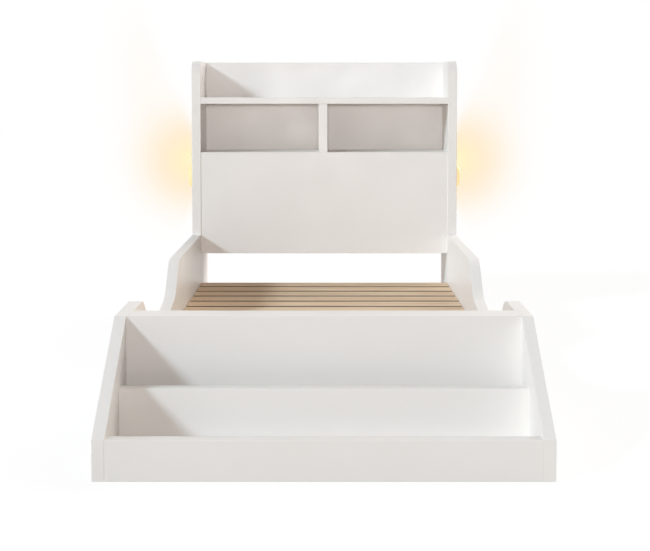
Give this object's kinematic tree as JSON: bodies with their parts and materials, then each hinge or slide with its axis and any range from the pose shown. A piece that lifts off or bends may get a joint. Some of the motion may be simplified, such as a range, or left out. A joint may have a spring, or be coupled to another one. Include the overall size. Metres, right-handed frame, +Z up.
{
  "type": "bookcase headboard bed",
  "caption": "Single platform bed with a bookcase headboard, dipped side rails, wooden slats, a sloping bookcase unit at the foot and press lamps on the headboard's outer faces.",
  "frame": {"origin": "on the floor, at the middle of the bed's footprint", "axes": "+Z up, +Y from the foot unit to the headboard, +X to the right of someone looking from the foot"},
  "size_m": [1.122, 2.637, 1.025],
  "materials": {
    "painted_board": "satin white paint on board",
    "bare_pine": "bare sanded pine",
    "beech": "turned and fluted",
    "zinc_steel": "bright zinc plated",
    "plate_steel": "zinc plated sheet",
    "cam_zinc": "die cast",
    "lamp_white_plastic": "matt",
    "lamp_diffuser": "frosted, lit from inside",
    "cell_wrap": "shrink sleeve",
    "circuit_board": "white solder mask",
    "switch_plastic": "moulded"
  },
  "bodies": {
    "bed": {"headboard_side_left": "painted_board", "headboard_side_right": "painted_board", "headboard_top_shelf": "painted_board", "headboard_cubby_floor": "painted_board", "headboard_bottom_board": "painted_board", "headboard_front_panel": "painted_board", "headboard_back_panel": "painted_board", "headboard_lower_rail": "painted_board", "headboard_divider": "painted_board", "side_rail_left": "painted_board", "side_rail_right": "painted_board", "foot_side_left": "painted_board", "foot_side_right": "painted_board", "foot_front_panel": "painted_board", "foot_base_board": "painted_board", "foot_divider": "painted_board", "foot_back_panel": "painted_board", "foot_rear_board": "painted_board", "foot_top_board": "painted_board", "slat_01": "bare_pine", "slat_02": "bare_pine", "slat_03": "bare_pine", "slat_04": "bare_pine", "slat_05": "bare_pine", "slat_06": "bare_pine", "slat_07": "bare_pine", "slat_08": "bare_pine", "slat_09": "bare_pine", "slat_10": "bare_pine", "slat_11": "bare_pine", "slat_12": "bare_pine", "slat_13": "bare_pine", "slat_14": "bare_pine", "slat_15": "bare_pine", "slat_ledger_left": "bare_pine", "slat_ledger_right": "bare_pine", "wood_dowels": "beech", "slat_screws": "zinc_steel", "ledger_screws": "zinc_steel", "plate_screws": "zinc_steel", "back_panel_screws": "zinc_steel", "cam_bolts": "zinc_steel", "joining_plates": "plate_steel", "corner_brackets": "plate_steel", "cam_discs": "cam_zinc", "lamp_left_base": "lamp_white_plastic", "lamp_left_battery_cells": "cell_wrap", "lamp_left_led_board": "circuit_board", "lamp_left_switch_body": "switch_plastic", "lamp_left_screws": "zinc_steel", "lamp_right_base": "lamp_white_plastic", "lamp_right_battery_cells": "cell_wrap", "lamp_right_led_board": "circuit_board", "lamp_right_switch_body": "switch_plastic", "lamp_right_screws": "zinc_steel"},
    "lamp_left_cover": {"lamp_left_dome": "lamp_diffuser", "lamp_left_switch_plunger": "switch_plastic"},
    "lamp_right_cover": {"lamp_right_dome": "lamp_diffuser", "lamp_right_switch_plunger": "switch_plastic"}
  },
  "joints": [
    {"name": "lamp_left_press", "type": "slide", "parent": "bed", "child": "lamp_left_cover", "axis": [1, 0, 0], "range_m": [0, 0.002], "stiffness_N_per_m": 1500},
    {"name": "lamp_right_press", "type": "slide", "parent": "bed", "child": "lamp_right_cover", "axis": [-1, 0, 0], "range_m": [0, 0.002], "stiffness_N_per_m": 1500}
  ]
}
